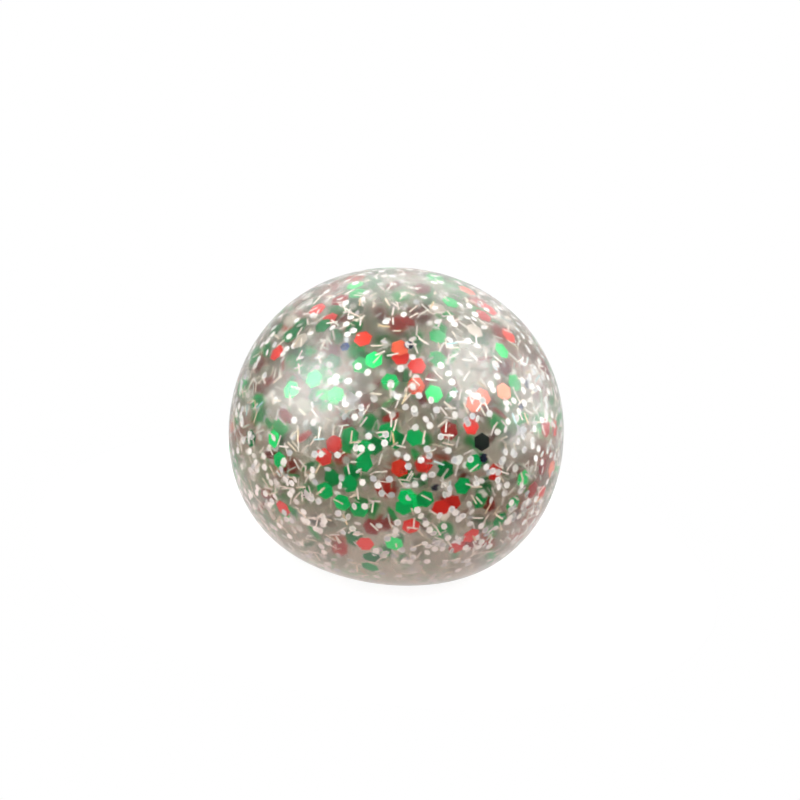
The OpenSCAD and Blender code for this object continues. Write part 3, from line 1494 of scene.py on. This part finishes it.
# Red tones near 1 give a piece the red foil's painted highlight.
RED_SPOTS = """
317 309 0.5 0.4
329 319 0.4 0.8
363 338 0.6 0.2
340 300 0.1 0.6
400 347 0.85 0.6
401 357 0.5 1.4
417 365 0.5 0.8
416 386 0.85 0.5
474 403 0.95 0.6
483 397 0.9 1.2
504 391 1 0.5
471 426 0.5 0.8
449 431 0.2 2.6
334 444 0.2 1.6
324 456 0.5 0.8
400 467 0.6 0.2
424 463 0.5 0.8
495 471 0.5 0.5
441 507 0.5 0.6
452 503 0.4 1.2
411 526 0.5 0.4
365 544 0.5 0.4
471 536 0.5 0.3
457 546 0.4 0.8
509 335 0.6 0.4
489 309 0.5 0.4
467 290 0.9 0.4
283 509 0.5 0.3
277 352 0.5 0.4
552 469 0.95 0.2
541 494 0.5 0.3
555 428 0.5 0.2
"""
SILVER_SPOTS = """
475 330 0.5 0.3
437 308 0.4 0.5
300 340 0.6 0.6
530 440 0.4 0.6
430 470 0.6 1
"""
STAR_SPOTS = """
307 495 0.6 0.2
458 540 0.6 0.2
436 543 0.7 0.2
520 430 0.5 0.3
352 400 0.5 0.6
"""
NAVY_SPOTS = """
345 346 0.9 0.2
527 384 0.3 0.2
521 404 0.3 0.2
409 345 0.3 0.3
484 457 0.3 0.3
"""

DOT_SWELLS = (
    Swell(315, 390, 40, 50, -0.85),
    Swell(390, 435, 55, 40, -0.5),
    Swell(400, 325, 80, 40, -0.5),
    Swell(300, 505, 60, 45, 1.0),
    Swell(420, 540, 90, 40, 0.7),
    Swell(510, 430, 50, 60, 0.4),
    Swell(505, 515, 45, 40, 0.8),
)
STRIP_SWELLS = (
    Swell(315, 390, 40, 50, -0.8),
    Swell(390, 435, 55, 40, -0.4),
    Swell(400, 310, 110, 40, 0.8),
    Swell(300, 505, 60, 45, 0.5),
    Swell(505, 515, 45, 40, 0.8),
)

GREEN_FOIL = FoilFinish(
    "green_foil",
    (
        (0, (0, 0.006, 0.002)),
        (0.15, (0, 0.18, 0.045)),
        (0.6, (0, 0.56, 0.13)),
        (1, (0, 0.86, 0.19)),
    ),
    metal=0.5,
    rough=(0.3, 0.45),
    gleam=0.1,
)
# Red foil. Its brightest stops, orange to salmon, are painted highlight: the red as it looks with a
# glint on it.
RED_FOIL_AND_PAINTED_GLINT = FoilFinish(
    "red_foil",
    (
        (0, (0.22, 0.01, 0.006)),
        (0.5, (0.84, 0.035, 0.022)),
        (0.8, (0.9, 0.09, 0.03)),
        (1, (0.95, 0.3, 0.18)),
    ),
    metal=0.5,
    rough=(0.3, 0.45),
    gleam=0.1,
)
SILVER_FOIL = FoilFinish(
    "silver_foil",
    ((0, (0.45, 0.38, 0.3)), (1, (0.75, 0.7, 0.62))),
    metal=0.6,
    rough=(0.3, 0.45),
)
BRIGHT_FOIL = FoilFinish("bright_foil", ((0, (0.6, 0.6, 0.6)), (1, (0.85, 0.85, 0.85))))
WHITE_FOIL = FoilFinish(
    "white_foil",
    (
        (0, (0.5, 0.52, 0.56)),
        (0.22, (0.64, 0.64, 0.65)),
        (0.35, (0.92, 0.9, 0.87)),
        (1, (0.96, 0.95, 0.93)),
    ),
    metal=0.1,
    rough=(0.25, 0.45),
    wrinkle=0.1,
)
NAVY_FOIL = FoilFinish(
    "navy_foil",
    ((0, (0.01, 0.015, 0.05)), (0.7, (0.02, 0.06, 0.2)), (1, (0.01, 0.09, 0.45))),
)
CREAM_FOIL = FoilFinish(
    "cream_foil",
    (
        (0, (0.3, 0.7, 0.75)),
        (0.04, (0.75, 0.7, 0.64)),
        (0.5, (0.9, 0.84, 0.77)),
        (0.95, (0.86, 0.74, 0.58)),
        (1, (0.8, 0.6, 0.3)),
    ),
    metal=0.25,
    rough=(0.25, 0.4),
    wrinkle=0.1,
)


def glitter_sorts() -> list[GlitterSort]:
    """Cuts the blanks and lists the sorts of glitter in the ball.

    Returns:
        The sorts, in the order in which they are laid.
    """
    thick, thin = 0.1 * MM, 0.08 * MM
    press = -0.3 * thick
    hexagon = punched_hexagon(across=3.2 * MM, thick=thick, rim=0.16, rise=0.035 * MM)
    dot = punched_hexagon(across=1.3 * MM, thick=thick, rim=0.24, rise=press, dimple=0.4)
    star = punched_star(across=3.4 * MM, waist=1.6 * MM, thick=thin)
    big_dot = punched_hexagon(across=1.7 * MM, thick=thick, rim=0.24, rise=press, dimple=0.4)
    strip = snipped_strip(long=2.3 * MM, wide=0.32 * MM, thick=thin, curl=0.05 * MM)
    return [
        GlitterSort(
            "green_hexagon_foil",
            "green_hexes",
            GREEN_FOIL,
            hexagon,
            seed=11,
            spots=read_spots(GREEN_SPOTS),
            darkest=0.15,
        ),
        GlitterSort(
            "red_hexagon_foil",
            "red_hexes",
            RED_FOIL_AND_PAINTED_GLINT,
            hexagon,
            seed=12,
            spots=read_spots(RED_SPOTS),
            brightest=0.3,
        ),
        GlitterSort(
            "silver_hexagon_foil",
            "silver_hexes",
            SILVER_FOIL,
            hexagon,
            seed=13,
            spots=read_spots(SILVER_SPOTS),
        ),
        GlitterSort(
            "silver_star_foil",
            "silver_stars",
            BRIGHT_FOIL,
            star,
            seed=14,
            spots=read_spots(STAR_SPOTS),
        ),
        GlitterSort(
            "white_dot_foil",
            "white_dots",
            WHITE_FOIL,
            dot,
            seed=15,
            darkest=0.17,
            near=950,
            deep=1300,
            swells=DOT_SWELLS,
        ),
        GlitterSort(
            "navy_dot_foil",
            "navy_dots",
            NAVY_FOIL,
            big_dot,
            seed=16,
            spots=read_spots(NAVY_SPOTS),
        ),
        GlitterSort(
            "cream_strip_foil",
            "silver_strips",
            CREAM_FOIL,
            strip,
            seed=17,
            near=1050,
            deep=1100,
            swells=STRIP_SWELLS,
        ),
    ]


# Studio


def facing(across: np.ndarray, tall: np.ndarray, back: np.ndarray, at: np.ndarray) -> Matrix:
    """Gives the matrix of a camera or a lamp from the ways of its own axes and its place."""
    rows = [[across[i], tall[i], back[i], at[i]] for i in range(3)]
    return Matrix(rows + [[0, 0, 0, 1]])


class Role(Enum):
    """What a lamp is for: to light the ball, or to be mirrored in its skin."""

    LIGHTING = "lighting"
    MIRRORED = "mirrored"


@dataclass(frozen=True)
class SoftBox:
    """A soft box, hung where the skin mirrors it in the photograph."""

    name: str
    azimuth: float
    elevation: float
    size: tuple[float, float]
    glow: float
    role: Role = Role.LIGHTING
    away: float = 0.6
    edge_fade: tuple[float, float] = (0.5, 0.3)

    def hang(self, target: tuple[float, float, float]) -> None:
        """Hangs the box so that it faces the ball.

        Args:
            target: The point that it faces.
        """
        a, e = math.radians(self.azimuth), math.radians(self.elevation)
        way = np.array([math.cos(e) * math.cos(a), math.cos(e) * math.sin(a), math.sin(e)])
        across = np.cross(UP, way)
        across /= np.linalg.norm(across)
        wide, tall = self.size
        lamp = bpy.data.lights.new(self.name, "AREA")
        lamp.shape, lamp.size, lamp.size_y = "RECTANGLE", wide, tall
        lamp.energy = self.glow * math.pi * wide * tall
        self.soften(lamp)
        holder = bpy.data.objects.new(self.name, lamp)
        bpy.context.scene.collection.objects.link(holder)
        at = np.array(target) + way * self.away
        holder.matrix_world = facing(across, np.cross(way, across), way, at)
        mirrored = self.role is Role.MIRRORED
        holder.visible_camera = False
        holder.visible_glossy = mirrored
        holder.visible_diffuse = holder.visible_transmission = not mirrored

    def soften(self, lamp: bpy.types.Light) -> None:
        """Lets the box's face fade towards its edges, as cloth in front of a lamp does.

        Args:
            lamp: The lamp.
        """
        lamp.use_nodes = True
        tree = lamp.node_tree
        face = tree.nodes.new("ShaderNodeNewGeometry")
        split = tree.nodes.new("ShaderNodeSeparateXYZ")
        tree.links.new(face.outputs["Parametric"], split.inputs["Vector"])
        sides = []
        for axis in ("X", "Y"):
            off = add_math(tree, "SUBTRACT", split.outputs[axis], MIDDLE)
            off = add_math(tree, "ABSOLUTE", off, 0.0)
            sides.append(add_fade(tree, off, self.edge_fade))
        strength = tree.nodes["Emission"].inputs["Strength"]
        tree.links.new(add_math(tree, "MULTIPLY", *sides), strength)


@dataclass
class Studio:
    """A small round white floor, soft boxes, and a room that is white behind and dim in front."""

    view: PhotoView
    floor_radius: float = 72 * MM
    floor_fade: float = 40 * MM
    floor_white: float = 0.9
    floor_shade: float = 0.2
    floor_glow: float = 0.9
    floor_rough: float = 0.9
    floor_steps: int = 96
    room_light: float = 0.8
    room_depth: tuple[float, float] = (-0.1, 0.6)
    room_depth_levels: tuple[float, float] = (0.03, 1.0)
    room_side: tuple[float, float] = (-0.9, -0.1)
    room_side_levels: tuple[float, float] = (0.35, 1.0)
    bounces: int = 16
    clear_bounces: int = 14
    glossy_bounces: int = 6
    boxes: tuple[SoftBox, ...] = (
        SoftBox("left_soft_box", -162, 28, (0.75, 0.72), 1.7),
        SoftBox("right_soft_box", -10, 54, (0.75, 0.55), 3.0),
        SoftBox("left_glint", -162, 28, (0.75, 0.72), 25, Role.MIRRORED),
        SoftBox("right_glint", -10, 54, (0.75, 0.55), 24, Role.MIRRORED),
        SoftBox("right_veil", 18, 12, (0.75, 0.4), 3, Role.MIRRORED),
        SoftBox("crown_glint", 95, 34, (1.0, 0.5), 1.4, Role.MIRRORED),
    )

    def floor(self) -> None:
        """Lays the floor, white to the eye and keeping the ball's shadow."""
        clear_selection()
        bpy.ops.mesh.primitive_circle_add(
            vertices=self.floor_steps, radius=self.floor_radius, fill_type="NGON"
        )
        floor = bpy.context.active_object
        floor.name = "studio_floor"
        mat, tree, paper = new_material("white_floor")
        set_sockets(
            paper,
            {
                "Base Color": grey(self.floor_white),
                "Roughness": self.floor_rough,
                "Specular IOR Level": 0.0,
            },
        )
        shade = tree.nodes.new("ShaderNodeBsdfDiffuse")
        shade.inputs["Color"].default_value = grey(self.floor_shade)
        glow = tree.nodes.new("ShaderNodeEmission")
        glow.inputs["Strength"].default_value = self.floor_glow
        seen = tree.nodes.new("ShaderNodeAddShader")
        tree.links.new(shade.outputs["BSDF"], seen.inputs[0])
        tree.links.new(glow.outputs["Emission"], seen.inputs[1])
        plainly = self.seen_plainly(tree)
        laid = add_mix(tree, plainly, paper.outputs["BSDF"], seen.outputs["Shader"])
        clear = tree.nodes.new("ShaderNodeBsdfTransparent")
        faded = add_mix(tree, self.mirrored_edge(tree), laid, clear.outputs["BSDF"])
        tree.links.new(faded, tree.nodes["Material Output"].inputs["Surface"])
        floor.data.materials.append(mat)

    def mirrored_edge(self, tree: bpy.types.NodeTree) -> bpy.types.NodeSocket:
        """Makes a value that goes from 0 to 1 at the floor's edge where the skin mirrors it.

        Args:
            tree: The node tree.

        Returns:
            The socket.
        """
        place = tree.nodes.new("ShaderNodeTexCoord")
        away = tree.nodes.new("ShaderNodeVectorMath")
        away.operation = "LENGTH"
        tree.links.new(place.outputs["Object"], away.inputs[0])
        fade = add_fade(tree, away.outputs["Value"], (self.floor_fade, self.floor_radius))
        path = tree.nodes.new("ShaderNodeLightPath")
        return add_math(tree, "MULTIPLY", fade, path.outputs["Is Glossy Ray"])

    def mirrored_room(self, tree: bpy.types.NodeTree) -> bpy.types.NodeSocket:
        """Makes the room's level as the skin mirrors it: white behind, dim in front and left.

        Args:
            tree: The node tree.

        Returns:
            The socket.
        """
        place = tree.nodes.new("ShaderNodeTexCoord")
        split = tree.nodes.new("ShaderNodeSeparateXYZ")
        tree.links.new(place.outputs["Generated"], split.inputs["Vector"])
        depth = add_fade(tree, split.outputs["Y"], self.room_depth, self.room_depth_levels)
        side = add_fade(tree, split.outputs["X"], self.room_side, self.room_side_levels)
        return add_math(tree, "MULTIPLY", depth, side)

    def room(self) -> None:
        """Sets the light of the room, white where the background shows."""
        world = bpy.data.worlds.new("studio_room")
        bpy.context.scene.world = world
        world.use_nodes = True
        tree = world.node_tree
        light = tree.nodes["Background"]
        light.inputs["Color"].default_value = WHITE
        path = tree.nodes.new("ShaderNodeLightPath")
        level = tree.nodes.new("ShaderNodeMix")
        straight = add_math(tree, "LESS_THAN", path.outputs["Diffuse Depth"], NO_BOUNCE)
        tree.links.new(straight, level.inputs["Factor"])
        level.inputs["A"].default_value = self.room_light
        tree.links.new(self.mirrored_room(tree), level.inputs["B"])
        tree.links.new(level.outputs["Result"], light.inputs["Strength"])
        white = tree.nodes.new("ShaderNodeBackground")
        set_sockets(white, {"Color": WHITE, "Strength": 1.0})
        unmirrored = add_math(tree, "LESS_THAN", path.outputs["Glossy Depth"], NO_BOUNCE)
        plainly = add_math(tree, "MULTIPLY", self.seen_plainly(tree), unmirrored)
        both = add_mix(tree, plainly, light.outputs["Background"], white.outputs["Background"])
        tree.links.new(both, tree.nodes["World Output"].inputs["Surface"])

    def seen_plainly(self, tree: bpy.types.NodeTree) -> bpy.types.NodeSocket:
        """Makes a value of 1 for what is seen straight, mirrored or through glass, and 0 for light.

        Args:
            tree: The node tree.

        Returns:
            The socket.
        """
        path = tree.nodes.new("ShaderNodeLightPath")
        found = path.outputs["Is Camera Ray"]
        for other in ("Is Glossy Ray", "Is Transmission Ray"):
            found = add_math(tree, "MAXIMUM", found, path.outputs[other])
        straight = add_math(tree, "LESS_THAN", path.outputs["Diffuse Depth"], NO_BOUNCE)
        return add_math(tree, "MULTIPLY", found, straight)

    def camera(self) -> None:
        """Sets the photograph's camera."""
        data = bpy.data.cameras.new("photo_camera")
        data.sensor_width, data.lens = self.view.sensor_mm, self.view.lens_mm()
        data.clip_start, data.clip_end = self.view.clip
        holder = bpy.data.objects.new("photo_camera", data)
        bpy.context.scene.collection.objects.link(holder)
        holder.matrix_world = facing(*self.view.axes(), self.view.place())
        bpy.context.scene.camera = holder

    def build(self) -> None:
        """Sets up the whole studio."""
        self.camera()
        self.floor()
        self.room()
        for box in self.boxes:
            box.hang(self.view.look_at)
        scene = bpy.context.scene
        scene.view_settings.view_transform = "Standard"
        scene.cycles.max_bounces = self.bounces
        scene.cycles.transmission_bounces = self.clear_bounces
        scene.cycles.glossy_bounces = self.glossy_bounces


def main() -> None:
    """Builds the studio and the ball, piece by piece."""
    logging.basicConfig(level=logging.INFO, format="%(name)s: %(message)s")
    ball, view = BallForm(), PhotoView()
    Studio(view).build()
    placing, closure = Placing(), Closure()
    Skin(ball, closure).build(placing)
    closure.build(placing)
    Gel(ball, closure).build(placing)
    cloud = GlitterCloud(ball, view)
    for sort in glitter_sorts():
        cloud.build(sort, placing)
    clear_selection()


if __name__ == "__main__":
    main()
